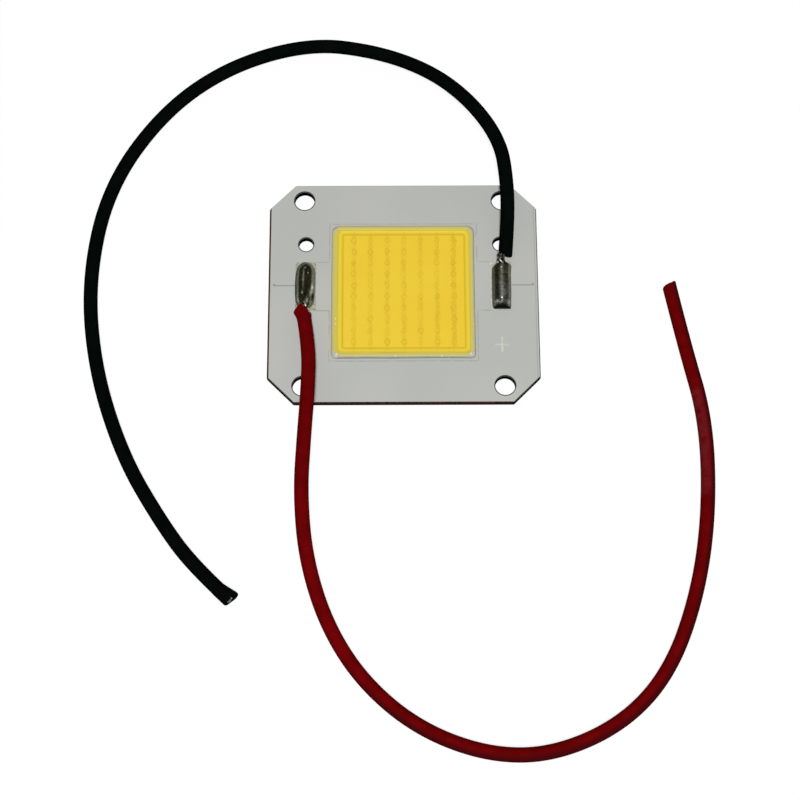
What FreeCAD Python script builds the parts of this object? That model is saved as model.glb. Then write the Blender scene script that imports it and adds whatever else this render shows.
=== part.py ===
import FreeCAD, Part
import math
import os
import Sketcher

# A chip-on-board LED: a metal-core plate with copper tracks under a white mask, a square light area
# inside a silicone dam, and two insulated leads soldered to the pads.
# Millimetres. The origin is the centre of the plate's underside, +Z points out of the light area
# and +Y points to the edge that the black lead crosses.

doc = FreeCAD.newDocument("cob_led")
Vector = FreeCAD.Vector
Placement = FreeCAD.Placement
Rotation = FreeCAD.Rotation
tolerance = 1e-6

driving_sizes = [
    # plate
    ("plate_length", 46.0),
    ("plate_width", 40.0),
    ("plate_thickness", 1.3),
    ("corner_cut", 4.6),
    ("score_bevel", 0.18),
    # holes
    ("mount_hole_diameter", 3.4),
    ("mount_margin_x", 6.0),
    ("mount_margin_y", 3.0),
    ("side_hole_diameter", 2.5),
    ("side_hole_gap", 3.35),
    # layers
    ("dielectric_thickness", 0.08),
    ("copper_thickness", 0.07),
    ("mask_thickness", 0.03),
    ("plating_thickness", 0.02),
    ("ink_thickness", 0.015),
    # copper
    ("light_window", 20.8),
    ("band_width", 2.05),
    ("band_gap", 1.8),
    ("pad_length", 8.9),
    ("pad_width", 3.5),
    ("arm_length", 2.45),
    ("pad_rise", 1.0),
    ("tail_rise", 1.37),
    ("tail_width", 0.3),
    ("tail_stop", 0.9),
    ("tail_dot_diameter", 0.6),
    ("mask_cover", 0.06),
    # printed plus sign
    ("plus_width", 2.4),
    ("plus_height", 2.8),
    ("plus_stroke", 0.3),
    ("plus_gap", 6.25),
    # dam and phosphor
    ("dam_setback", 0.6),
    ("dam_width", 1.2),
    ("dam_height", 0.65),
    ("dam_crown_radius", 0.52),
    ("dam_inner_radius", 0.6),
    ("dam_outer_radius", 1.2),
    ("gel_depth_below_crown", 0.22),
    ("gel_bite", 0.25),
    # dies and bond wires
    ("die_length", 1.1),
    ("die_width", 0.76),
    ("die_thickness", 0.15),
    ("die_rows", 10),
    ("die_columns", 7),
    ("die_row_margin", 0.58),
    ("die_column_margin", 1.53),
    ("bond_thickness", 0.03),
    ("bond_rise", 0.14),
    ("bond_inset", 0.12),
    ("bond_reach", 0.45),
    # leads and solder
    ("lead_diameter", 2.4),
    ("strand_diameter", 1.15),
    ("strand_stub", 0.25),
    ("strand_reach", 3.4),
    ("strand_height", 0.95),
    ("solder_width", 3.3),
    ("solder_height", 1.6),
    ("solder_edge", 0.15),
]

sheet = doc.addObject("Spreadsheet::Sheet", "Sizes")
for row, (name, value) in enumerate(driving_sizes, start=1):
    sheet.set("A%d" % row, name)
    sheet.set("B%d" % row, str(value))
    sheet.setAlias("B%d" % row, name)
doc.recompute()


def size(name):
    return float(getattr(sheet, name))


def worked_out(expression):
    """Value of an expression on the sheet's sizes."""
    return float(sheet.evalExpression(expand(expression)))


# Lengths that follow from the driving sizes, written as expressions.
levels = {
    "metal_top": "plate_thickness",
    "dielectric_top": "plate_thickness + dielectric_thickness",
    "copper_top": "plate_thickness + dielectric_thickness + copper_thickness",
    "mask_top": "plate_thickness + dielectric_thickness + mask_thickness",
    "half_light": "light_window / 2",
    "half_band": "light_window / 2 + band_width",
    "dam_inner": "light_window / 2 + dam_setback",
    "dam_outer": "light_window / 2 + dam_setback + dam_width",
    "dam_middle": "light_window / 2 + dam_setback + dam_width / 2",
    "gel_edge": "light_window / 2 + dam_setback + gel_bite",
    "dam_crown": "plate_thickness + dielectric_thickness + mask_thickness + dam_height",
    "mount_x": "plate_length / 2 - mount_margin_x",
    "mount_y": "plate_width / 2 - mount_margin_y",
    "pad_centre": "light_window / 2 + band_width + arm_length + pad_width / 2",
    "side_hole_rise": "pad_rise + pad_length / 2 + side_hole_gap",
    "plus_level": "pad_rise - pad_length / 2 - plus_gap",
    "row_pitch": "( light_window - 2 * die_row_margin - die_length ) / ( die_rows - 1 )",
    "column_pitch": "( light_window - 2 * die_column_margin - die_width ) / ( die_columns - 1 )",
}


def expand(expression):
    """Write an expression out in the sheet's own cells."""
    words = expression.replace("(", " ( ").replace(")", " ) ").split()
    out = []
    for word in words:
        if word in levels:
            out.append("(" + expand(levels[word]) + ")")
        elif any(word == name for name, value in driving_sizes):
            out.append("Sizes." + word)
        else:
            out.append(word)
    return " ".join(out)


def bind(thing, prop, expression):
    thing.setExpression(prop, expand(expression))


def origin_plane(body, role):
    return [f for f in body.Origin.OriginFeatures if f.Role == role][0]


def new_sketch(body, name, role="XY_Plane"):
    sketch = body.newObject("Sketcher::SketchObject", name)
    sketch.AttachmentSupport = [(origin_plane(body, role), "")]
    sketch.MapMode = "FlatFace"
    return sketch


def add_polygon(sketch, corners):
    """Closed outline whose corners are pairs of expressions, each pinned to the sheet."""
    first = sketch.GeometryCount
    count = len(corners)
    spots = [Vector(worked_out(x), worked_out(y), 0) for x, y in corners]
    for i in range(count):
        sketch.addGeometry(Part.LineSegment(spots[i], spots[(i + 1) % count]), False)
    for i in range(count):
        following = first + (i + 1) % count
        sketch.addConstraint(Sketcher.Constraint("Coincident", first + i, 2, following, 1))
    for i, (x, y) in enumerate(corners):
        pin = sketch.addConstraint(Sketcher.Constraint("DistanceX", -1, 1, first + i, 1, spots[i].x))
        bind(sketch, "Constraints[%d]" % pin, x)
        pin = sketch.addConstraint(Sketcher.Constraint("DistanceY", -1, 1, first + i, 1, spots[i].y))
        bind(sketch, "Constraints[%d]" % pin, y)


def add_circle(sketch, x, y, diameter):
    middle = Vector(worked_out(x), worked_out(y), 0)
    circle = Part.Circle(middle, Vector(0, 0, 1), worked_out(diameter) / 2)
    index = sketch.addGeometry(circle, False)
    pin = sketch.addConstraint(Sketcher.Constraint("DistanceX", -1, 1, index, 3, middle.x))
    bind(sketch, "Constraints[%d]" % pin, x)
    pin = sketch.addConstraint(Sketcher.Constraint("DistanceY", -1, 1, index, 3, middle.y))
    bind(sketch, "Constraints[%d]" % pin, y)
    pin = sketch.addConstraint(Sketcher.Constraint("Diameter", index, 2 * circle.Radius))
    bind(sketch, "Constraints[%d]" % pin, diameter)


def add_pad(body, sketch, name, length):
    pad = body.newObject("PartDesign::Pad", name)
    pad.Profile = sketch
    bind(pad, "Length", length)
    doc.recompute()
    return pad


def edge_names(shape, wanted):
    return ["Edge%d" % (i + 1) for i, edge in enumerate(shape.Edges) if wanted(edge)]


def octagon(inset):
    """The plate's outline; the straight sides move in by the inset and the cut corners stay."""
    long_side = "( plate_length / 2 - %s )" % inset
    wide_side = "( plate_width / 2 - %s )" % inset
    along = "( %s - corner_cut + 2 * %s )" % (long_side, inset)
    up = "( %s - corner_cut + 2 * %s )" % (wide_side, inset)
    quarter = [(long_side, up), (along, wide_side)]
    corners = list(quarter)
    corners += [("-1 * " + x, y) for x, y in reversed(quarter)]
    corners += [("-1 * " + x, "-1 * " + y) for x, y in quarter]
    corners += [(x, "-1 * " + y) for x, y in reversed(quarter)]
    return corners


def mount_hole_places():
    return [(sx + "mount_x", sy + "mount_y") for sx in ("1 * ", "-1 * ") for sy in ("1 * ", "-1 * ")]


def side_hole_places():
    return [(sx + "pad_centre", "side_hole_rise") for sx in ("1 * ", "-1 * ")]


def add_holes(body, name, places, diameter):
    """Through holes down from the XY plane, as one Hole feature."""
    sketch = new_sketch(body, name + "_places")
    for x, y in places:
        add_circle(sketch, x, y, diameter)
    doc.recompute()
    hole = body.newObject("PartDesign::Hole", name)
    hole.Profile = sketch
    doc.recompute()
    before = body.Shape.Volume
    hole.DepthType = "ThroughAll"
    hole.Reversed = True
    bind(hole, "Diameter", diameter)
    doc.recompute()
    assert body.Shape.Volume < before - size("plate_thickness")


def block(name, x0, x1, y0, y1, z0, z1):
    """A box between six levels, each an expression."""
    box = doc.addObject("Part::Box", name)
    spans = ((x0, x1, "Length", "x"), (y0, y1, "Width", "y"), (z0, z1, "Height", "z"))
    for start, end, length, axis in spans:
        bind(box, length, "( %s ) - ( %s )" % (end, start))
        bind(box, "Placement.Base." + axis, start)
    return box


def fused(name, pieces):
    fusion = doc.addObject("Part::MultiFuse", name)
    fusion.Shapes = pieces
    fusion.Refine = True
    return fusion


def cut(name, base, tool):
    result = doc.addObject("Part::Cut", name)
    result.Base = base
    result.Tool = tool
    return result


nodes = {}


def keep(name, thing):
    thing.Label = name
    nodes[name] = thing
    return thing


# Base plate: octagon, bevelled where the panel was scored on both faces, with six holes.
plate = doc.addObject("PartDesign::Body", "plate")
plate_outline = new_sketch(plate, "plate_outline")
add_polygon(plate_outline, octagon("0"))
plate_pad = add_pad(plate, plate_outline, "plate_pad", "plate_thickness")


def is_scored(edge):
    """Straight outer edges of the two faces, which run along X or Y."""
    box = edge.BoundBox
    return box.ZLength < tolerance and min(box.XLength, box.YLength) < tolerance


plate_bevel = plate.newObject("PartDesign::Chamfer", "plate_bevel")
plate_bevel.Base = (plate_pad, edge_names(plate_pad.Shape, is_scored))
bind(plate_bevel, "Size", "score_bevel")
doc.recompute()
add_holes(plate, "mount_holes", mount_hole_places(), "mount_hole_diameter")
add_holes(plate, "side_holes", side_hole_places(), "side_hole_diameter")
keep("base_plate", plate)


def plate_layer(name, thickness, level):
    """A layer as large as the plate's top face, with the six holes."""
    body = doc.addObject("PartDesign::Body", name)
    sketch = new_sketch(body, name + "_outline")
    add_polygon(sketch, octagon("score_bevel"))
    for x, y in mount_hole_places():
        add_circle(sketch, x, y, "mount_hole_diameter")
    for x, y in side_hole_places():
        add_circle(sketch, x, y, "side_hole_diameter")
    add_pad(body, sketch, name + "_pad", thickness)
    bind(body, "Placement.Base.z", level)
    return body


def square_window(name, half, z0, z1):
    return block(name, "-1 * " + half, half, "-1 * " + half, half, z0, z1)


# Dielectric, open under the dies so that they sit on the metal.
dielectric_sheet = plate_layer("dielectric_sheet", "dielectric_thickness", "metal_top")
die_window = square_window("die_window", "half_light", "0", "dam_crown")
keep("dielectric_layer", cut("dielectric", dielectric_sheet, die_window))


def track(side, name, grow, z1):
    """One copper area: ring band and cross band, arm with the solder pad, tail and its end dot.

    side is -1 for the left area, whose cross band is the upper one, and 1 for the right."""
    left = side < 0
    g = grow
    inner = "( half_light - %s )" % g
    outer = "( half_band + %s )" % g
    stop = "( half_light - band_gap + %s )" % g
    tail_end = "( plate_length / 2 - tail_stop )"
    pad_outer = "( pad_centre + pad_width / 2 + %s )" % g
    pad_half = "( pad_length / 2 + %s )" % g
    tail_half = "( tail_width / 2 + %s )" % g

    def mirrored(low, high):
        return ("-1 * " + high, "-1 * " + low) if left else (low, high)

    def turned(low, high):
        return (low, high) if left else ("-1 * " + high, "-1 * " + low)

    low = "dielectric_top"
    band_x = mirrored(inner, outer)
    band_y = turned("-1 * " + stop, outer)
    cross_y = turned(inner, outer)
    arm_x = mirrored("half_light", pad_outer)
    tail_x = mirrored("pad_centre", tail_end)
    arm_y = ("pad_rise - " + pad_half, "pad_rise + " + pad_half)
    tail_y = ("tail_rise - " + tail_half, "tail_rise + " + tail_half)
    pieces = [
        block(name + "_band", band_x[0], band_x[1], band_y[0], band_y[1], low, z1),
        block(name + "_cross", "-1 * " + outer, outer, cross_y[0], cross_y[1], low, z1),
        block(name + "_arm", arm_x[0], arm_x[1], arm_y[0], arm_y[1], low, z1),
        block(name + "_tail", tail_x[0], tail_x[1], tail_y[0], tail_y[1], low, z1),
    ]
    dot = doc.addObject("Part::Cylinder", name + "_dot")
    bind(dot, "Radius", "tail_dot_diameter / 2 + " + g)
    bind(dot, "Height", "( %s ) - ( %s )" % (z1, low))
    bind(dot, "Placement.Base.x", tail_end if not left else "-1 * " + tail_end)
    bind(dot, "Placement.Base.y", "tail_rise")
    bind(dot, "Placement.Base.z", low)
    return fused(name, pieces + [dot])


track_left = keep("track_left", track(-1, "copper_left", "0", "copper_top"))
track_right = keep("track_right", track(1, "copper_right", "0", "copper_top"))
tracks = fused("copper_both", [track_left, track_right])


def pad_block(name, side, z0, z1):
    centre = "%d * pad_centre" % side
    return block(name, centre + " - pad_width / 2", centre + " + pad_width / 2",
                 "pad_rise - pad_length / 2", "pad_rise + pad_length / 2", z0, z1)


# Solder mask: a thin coat that steps up over the copper, open at the light area and the two pads.
mask_sheet = plate_layer("mask_sheet", "mask_thickness", "dielectric_top")
mask_rise = "copper_top + mask_thickness"
mask_over_left = track(-1, "mask_over_left", "mask_cover", mask_rise)
mask_over_right = track(1, "mask_over_right", "mask_cover", mask_rise)
mask_coat = fused("mask_coat", [mask_sheet, mask_over_left, mask_over_right])
mask_openings = fused("mask_openings", [
    square_window("mask_light_window", "dam_middle", "metal_top", "dam_crown"),
    pad_block("mask_pad_window_left", -1, "copper_top", "dam_crown"),
    pad_block("mask_pad_window_right", 1, "copper_top", "dam_crown"),
])
mask_tools = fused("mask_tools", [tracks, mask_openings])
solder_mask = keep("solder_mask", cut("mask", mask_coat, mask_tools))

# Plated faces of the two pads.
plated_top = "copper_top + plating_thickness"
keep("pad_plating_left", pad_block("plating_left", -1, "copper_top", plated_top))
keep("pad_plating_right", pad_block("plating_right", 1, "copper_top", plated_top))

# Printed plus sign beside the right pad, on the mask.
ink_top = "mask_top + ink_thickness"
keep("polarity_mark", fused("plus_sign", [
    block("plus_across", "pad_centre - plus_width / 2", "pad_centre + plus_width / 2",
          "plus_level - plus_stroke / 2", "plus_level + plus_stroke / 2", "mask_top", ink_top),
    block("plus_upright", "pad_centre - plus_stroke / 2", "pad_centre + plus_stroke / 2",
          "plus_level - plus_height / 2", "plus_level + plus_height / 2", "mask_top", ink_top),
]))

# Silicone dam: a square ring with round corners and a domed crown, set down on mask and copper.
dam = doc.addObject("PartDesign::Body", "dam")
dam_outline = new_sketch(dam, "dam_outline")
for half in ("dam_outer", "dam_inner"):
    add_polygon(dam_outline, [(half, half), ("-1 * " + half, half), ("-1 * " + half, "-1 * " + half),
                              (half, "-1 * " + half)])
bind(dam, "Placement.Base.z", "dielectric_top")
dam_pad = add_pad(dam, dam_outline, "dam_pad", "dam_crown - dielectric_top")


def round_edges(body, base, name, wanted, radius):
    fillet = body.newObject("PartDesign::Fillet", name)
    fillet.Base = (base, edge_names(base.Shape, wanted))
    bind(fillet, "Radius", radius)
    doc.recompute()
    return fillet


def upright(edge):
    return edge.BoundBox.ZLength > edge.BoundBox.XLength + edge.BoundBox.YLength


def corner_test(outer):
    limit = worked_out("dam_middle")
    return lambda edge: upright(edge) and (abs(edge.CenterOfMass.x) > limit) == outer


dam_outside = round_edges(dam, dam_pad, "dam_outside", corner_test(True), "dam_outer_radius")
dam_inside = round_edges(dam, dam_outside, "dam_inside", corner_test(False), "dam_inner_radius")
crown_level = worked_out("dam_crown - dielectric_top")


def on_crown(edge):
    return edge.BoundBox.ZMin > crown_level - tolerance


round_edges(dam, dam_inside, "dam_crown_round", on_crown, "dam_crown_radius")
under_dam = fused("under_dam", [tracks, solder_mask])
dam_ring = keep("dam_ring", cut("dam_seated", dam, under_dam))

# LED dies on the metal, in columns that run from the upper band to the lower one.
columns = int(size("die_columns"))
rows = int(size("die_rows"))
column_x = [worked_out("column_pitch") * (i - (columns - 1) / 2) for i in range(columns)]
row_y = [worked_out("row_pitch") * (i - (rows - 1) / 2) for i in range(rows)]
die = doc.addObject("Part::Box", "one_die")
bind(die, "Length", "die_width")
bind(die, "Width", "die_length")
bind(die, "Height", "die_thickness")
bind(die, "Placement.Base.x", "-1 * die_width / 2")
bind(die, "Placement.Base.y", "-1 * die_length / 2")
bind(die, "Placement.Base.z", "metal_top")
doc.recompute()


def copies(shape, places):
    spread = []
    for place in places:
        piece = shape.copy()
        piece.translate(place)
        spread.append(piece)
    return Part.makeCompound(spread)


def group(name, shape):
    feature = doc.addObject("Part::Feature", name)
    feature.Shape = shape
    return feature


dies = group("dies", copies(die.Shape, [Vector(x, y, 0) for x in column_x for y in row_y]))
keep("led_dies", dies)


def bond_loop(span, start_level, end_level):
    """One wire along +Y from a start level to an end level, arched between them."""
    thick = size("bond_thickness")
    top = worked_out("plate_thickness + die_thickness + bond_rise")
    line = [(0, start_level), (span / 2, top), (span, end_level)]
    across = Vector(-thick / 2, 0, 0)
    under = [across + Vector(0, y, z) for y, z in line]
    over = [point + Vector(0, 0, thick) for point in under]
    ring = under + over[::-1]
    face = Part.Face(Part.makePolygon(ring + ring[:1]))
    return face.extrude(Vector(thick, 0, 0))


die_top = worked_out("plate_thickness + die_thickness")
copper_level = worked_out("copper_top")
pad_inset = size("die_length") / 2 - size("bond_inset")
chain_span = worked_out("row_pitch") - 2 * pad_inset
end_span = size("light_window") / 2 + size("bond_reach") - row_y[-1] - pad_inset
chain = bond_loop(chain_span, die_top, die_top)
last = bond_loop(end_span, die_top, copper_level)
first = last.mirror(Vector(0, 0, 0), Vector(0, 1, 0))
wire_shapes = []
for x in column_x:
    for y in row_y[:-1]:
        wire_shapes.append(copies(chain, [Vector(x, y + pad_inset, 0)]).Solids[0])
    wire_shapes.append(copies(last, [Vector(x, row_y[-1] + pad_inset, 0)]).Solids[0])
    wire_shapes.append(copies(first, [Vector(x, row_y[0] - pad_inset, 0)]).Solids[0])
wires = keep("bond_wires", group("wires", Part.makeCompound(wire_shapes)))

# Phosphor gel: it fills the dam to a level below the crown and closes round the dies and wires.
gel_block = square_window("gel_block", "gel_edge", "metal_top", "dam_crown - gel_depth_below_crown")
round_the_gel = fused("round_the_gel", [dam_ring, tracks, nodes["dielectric_layer"]])
gel_whole = cut("gel_whole", gel_block, round_the_gel)
doc.recompute()
gel_shape = gel_whole.Shape.cut(dies.Shape.Solids + wires.Shape.Solids)
keep("phosphor_gel", group("gel", gel_shape.Solids[0]))


arc_share = 0.45  # how much of the shorter run beside a corner its arc takes


def tube_along(points, diameter, label):
    """Round tube on straight runs joined by tangent arcs.

    Each arc's radius is its share of the shorter run over the tangent of half the turn."""
    edges = []
    radii = []
    start = points[0]
    for before, corner, after in zip(points, points[1:], points[2:]):
        back = before - corner
        ahead = after - corner
        reach = arc_share * min(back.Length, ahead.Length)
        half_turn = (math.pi - back.getAngle(ahead)) / 2
        radii.append(reach / math.tan(half_turn))
        back.normalize()
        ahead.normalize()
        enter = corner + back * reach
        leave = corner + ahead * reach
        inward = back + ahead
        inward.normalize()
        offset = radii[-1] / math.cos(half_turn) - radii[-1]
        edges.append(Part.LineSegment(start, enter).toShape())
        edges.append(Part.Arc(enter, corner + inward * offset, leave).toShape())
        start = leave
    edges.append(Part.LineSegment(start, points[-1]).toShape())
    path = Part.Wire(edges)
    direction = points[1] - points[0]
    profile = Part.Wire(Part.Circle(points[0], direction, diameter / 2).toShape())
    solid = path.makePipeShell([profile], True, False)
    drawn = math.pi * diameter ** 2 / 4 * path.Length
    print(label, "length", round(path.Length, 1), "radii", [round(r, 1) for r in radii],
          "volume over section times length", round(solid.Volume / drawn, 4))
    return solid


# Leads. Each leaves its pad just above the board, rises over the plate's edge, comes down to the
# surface that the plate stands on and lies there in a loose curve to its cut end.
black_route = [
    Vector(17.4, 6.3, 2.9),
    Vector(17.9, 12.3, 4.2),
    Vector(17.8, 18.7, 5.6),
    Vector(16.8, 26.0, 6.1),
    Vector(12.0, 34.0, 5.4),
    Vector(5.0, 40.8, 4.0),
    Vector(-4.6, 45.5, 2.6),
    Vector(-16.4, 47.7, 1.6),
    Vector(-30.5, 43.5, 1.2),
    Vector(-42.0, 34.5, 1.2),
    Vector(-51.0, 20.0, 1.2),
    Vector(-54.0, 3.0, 1.2),
    Vector(-52.0, -13.5, 1.2),
    Vector(-46.7, -29.0, 1.2),
    Vector(-40.0, -40.3, 1.2),
    Vector(-34.3, -48.0, 1.2),
    Vector(-28.3, -53.5, 1.2),
]
red_route = [
    Vector(-17.0, -4.0, 2.9),
    Vector(-15.8, -11.2, 4.2),
    Vector(-15.9, -19.5, 5.6),
    Vector(-16.4, -27.5, 6.1),
    Vector(-16.9, -37.0, 5.4),
    Vector(-15.9, -47.8, 4.0),
    Vector(-12.4, -58.5, 2.6),
    Vector(-6.5, -67.4, 1.6),
    Vector(2.2, -74.6, 1.2),
    Vector(13.0, -78.7, 1.2),
    Vector(23.3, -78.7, 1.2),
    Vector(34.4, -73.9, 1.2),
    Vector(42.3, -65.6, 1.2),
    Vector(47.4, -52.8, 1.2),
    Vector(50.0, -38.7, 1.2),
    Vector(50.3, -23.0, 1.2),
    Vector(47.6, -10.0, 1.2),
    Vector(45.3, 0.7, 1.2),
]
for lead, route in (("lead_black", black_route), ("lead_red", red_route)):
    keep(lead, group(lead + "_tube", tube_along(route, size("lead_diameter"), lead)))


def stub(name, route):
    """The conductor's cut face, standing a little out of the insulation."""
    way = route[-1] - route[-2]
    shape = Part.makeCylinder(size("strand_diameter") / 2, size("strand_stub"), route[-1], way)
    keep(name, group(name + "_stub", shape))


stub("strand_end_black", black_route)
stub("strand_end_red", red_route)


def strands(name, lead, start):
    """Stripped conductor: from the insulation's end down into the solder, on the pad's centreline."""
    side = math.copysign(1, start.x)
    along = -math.copysign(1, start.y)
    end = Vector(side * worked_out("pad_centre"), start.y + along * size("strand_reach"),
                 worked_out(plated_top + " + strand_height"))
    way = end - start
    way.normalize()
    inside = start - way * size("strand_diameter")
    bar = Part.makeCylinder(size("strand_diameter") / 2, (end - inside).Length, inside, way)
    return keep(name, group(name + "_bundle", bar.cut(nodes[lead].Shape).Solids[0]))


strands_right = strands("bare_strands_right", "lead_black", black_route[0])
strands_left = strands("bare_strands_left", "lead_red", red_route[0])


def solder_joint(name, side, stations, bundle):
    """Solder on one pad: a loft through upright ellipses along the pad, cut flat on the plating.

    A station gives the share of the way along the pad, the half width and half height as shares of
    the joint's own, and how far the ellipse's centre stands above the pad as a share of its height."""
    rings = []
    for i, (along, wide, high, lift) in enumerate(stations):
        ring = doc.addObject("Part::Ellipse", "%s_ring_%d" % (name, i + 1))
        tall = "solder_height * %s" % high
        broad = "solder_width / 2 * %s" % wide
        upright_turn = Rotation(Vector(1, 0, 0), 90)
        if worked_out(tall) > worked_out(broad):
            upright_turn = upright_turn * Rotation(Vector(0, 0, 1), 90)
            tall, broad = broad, tall
        ring.Placement = Placement(Vector(0, 0, 0), upright_turn)
        ring.MajorRadius = worked_out(broad)
        bind(ring, "MinorRadius", tall)
        bind(ring, "MajorRadius", broad)
        start = "pad_rise - pad_length / 2 + solder_edge"
        bind(ring, "Placement.Base.x", "%d * pad_centre" % side)
        bind(ring, "Placement.Base.y", "%s + %s * ( pad_length - 2 * solder_edge )" % (start, along))
        bind(ring, "Placement.Base.z", "%s + %s * solder_height" % (plated_top, lift))
        rings.append(ring)
    loft = doc.addObject("Part::Loft", name + "_loft")
    loft.Sections = rings
    loft.Solid = True
    loft.Ruled = True
    centre = "%d * pad_centre" % side
    below = block(name + "_below", centre + " - pad_width", centre + " + pad_width",
                  "pad_rise - pad_length", "pad_rise + pad_length", "-1 * solder_height", plated_top)
    hollow = fused(name + "_hollow", [below, bundle])
    keep(name, cut(name + "_seated", loft, hollow))


right_stations = [
    (0.0, 0.80, 0.70, 0.0),
    (0.03, 0.92, 0.82, 0.0),
    (0.09, 0.98, 0.91, 0.0),
    (0.22, 1.0, 0.97, 0.0),
    (0.62, 1.0, 1.0, 0.0),
    (0.77, 0.94, 0.98, 0.0),
    (0.86, 0.80, 0.90, 0.08),
    (0.93, 0.62, 0.70, 0.28),
    (1.0, 0.46, 0.45, 0.60),
]
left_stations = [
    (0.09, 0.50, 0.45, 0.55),
    (0.15, 0.74, 0.74, 0.24),
    (0.25, 0.90, 0.90, 0.06),
    (0.36, 0.98, 0.97, 0.0),
    (0.58, 1.0, 1.0, 0.0),
    (0.78, 0.98, 0.96, 0.0),
    (0.88, 0.88, 0.84, 0.0),
    (0.95, 0.70, 0.63, 0.0),
    (0.99, 0.42, 0.36, 0.0),
]
solder_joint("solder_joint_right", 1, right_stations, strands_right)
solder_joint("solder_joint_left", -1, left_stations, strands_left)

doc.recompute()
for thing in doc.Objects:
    assert "Invalid" not in thing.State and "Error" not in thing.State, thing.Label
for name, thing in nodes.items():
    assert not thing.Shape.isNull() and thing.Shape.isValid(), name

os.makedirs("parts", exist_ok=True)
for name, thing in nodes.items():
    thing.Shape.exportStep("parts/%s.step" % name)
    print(name, "solids", len(thing.Shape.Solids), "volume", round(thing.Shape.Volume, 4))
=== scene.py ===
import bmesh
import bpy
import math
import numpy as np
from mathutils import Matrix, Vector


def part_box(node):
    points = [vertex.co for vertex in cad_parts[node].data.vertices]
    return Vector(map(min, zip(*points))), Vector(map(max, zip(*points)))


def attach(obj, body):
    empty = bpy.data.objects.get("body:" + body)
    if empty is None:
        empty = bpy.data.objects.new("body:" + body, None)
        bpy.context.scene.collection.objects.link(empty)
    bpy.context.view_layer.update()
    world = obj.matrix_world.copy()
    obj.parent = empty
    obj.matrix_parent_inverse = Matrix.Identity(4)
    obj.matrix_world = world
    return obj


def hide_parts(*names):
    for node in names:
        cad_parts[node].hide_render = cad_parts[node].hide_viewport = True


# A chip-on-board light source with its two soldered leads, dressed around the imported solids.
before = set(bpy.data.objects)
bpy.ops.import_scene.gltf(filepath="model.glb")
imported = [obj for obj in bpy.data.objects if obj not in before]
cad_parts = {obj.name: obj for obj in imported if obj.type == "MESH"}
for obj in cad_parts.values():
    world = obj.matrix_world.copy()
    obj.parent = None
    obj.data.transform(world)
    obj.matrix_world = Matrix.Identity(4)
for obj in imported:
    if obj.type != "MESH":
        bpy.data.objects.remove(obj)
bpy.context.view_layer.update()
mm = 0.001
print("frame loaded:", len(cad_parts), "nodes")


def colour(red, green, blue):
    # screen colour, 0 to 255, as the linear values that a shader takes
    screen = np.array([red, green, blue]) / 255
    linear = np.where(screen <= 0.04045, screen / 12.92, ((screen + 0.055) / 1.055) ** 2.4)
    return (*[float(part) for part in linear], 1.0)


# Meshes

def addObject(name, data):
    made = bpy.data.objects.new(name, data)
    bpy.context.scene.collection.objects.link(made)
    return made


def makePiece(name, points, faces, material, replaced=()):
    # a mesh from an array of points and a list of faces, turned so that its faces point outwards
    mesh = bpy.data.meshes.new(name)
    mesh.from_pydata(points.reshape(-1, 3).tolist(), [], [list(face) for face in faces])
    mesh.validate()
    mesh.update()
    if signedVolume(mesh) < 0:
        mesh.flip_normals()
    mesh.shade_smooth()
    mesh.materials.append(material)
    piece = addObject(name, mesh)
    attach(piece, "root")
    if replaced:
        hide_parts(*replaced)
    print("piece", name, "faces", len(mesh.polygons))
    return piece


def signedVolume(mesh):
    # negative where the faces point inwards
    shape = bmesh.new()
    shape.from_mesh(mesh)
    volume = shape.calc_volume(signed=True)
    shape.free()
    return volume


def gridFaces(rows, columns, wrapRows=False, wrapColumns=False, start=0):
    # quads between neighbouring points of a grid, whose last row or column may meet its first
    i = np.arange(rows if wrapRows else rows - 1)
    j = np.arange(columns if wrapColumns else columns - 1)
    i, j = np.meshgrid(i, j, indexing="ij")
    nextI, nextJ = (i + 1) % rows, (j + 1) % columns
    quads = [i * columns + j, nextI * columns + j, nextI * columns + nextJ, i * columns + nextJ]
    return (np.stack(quads, -1).reshape(-1, 4) + start).tolist()


def tubeFaces(rows, columns, start=0):
    # a tube of rings with one flat face on each end
    first = [start + k for k in range(columns)]
    last = [start + (rows - 1) * columns + k for k in range(columns)]
    return gridFaces(rows, columns, wrapColumns=True, start=start) + [first, last[::-1]]


def mergeSame(points, faces):
    # points in the same place become one, and a face that this leaves without an area goes
    merged, index = np.unique(np.round(points, 6), axis=0, return_inverse=True)
    index = index.ravel().tolist()
    faces = [list(dict.fromkeys(index[k] for k in face)) for face in faces]
    return merged, [face for face in faces if len(face) > 2]


def giveValues(piece, name, values):
    # one number per vertex, which the material reads by name
    layer = piece.data.attributes.new(name, "FLOAT", "POINT")
    layer.data.foreach_set("value", np.ascontiguousarray(values, np.float32).ravel())


def unit(vectors):
    return vectors / np.linalg.norm(vectors, axis=-1, keepdims=True)


def crossWays(way):
    # a level direction across each way, and the one square to both
    side = unit(np.cross(way, [0.0, 0.0, 1.0]))
    return side, np.cross(side, way)


def circle(count):
    return np.linspace(0, 2 * math.pi, count, endpoint=False)


def roundWay(angle, side, up):
    # directions at each angle round a way, from its two cross directions
    return np.cos(angle)[:, None] * side[..., None, :] + np.sin(angle)[:, None] * up[..., None, :]


# Materials

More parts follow.
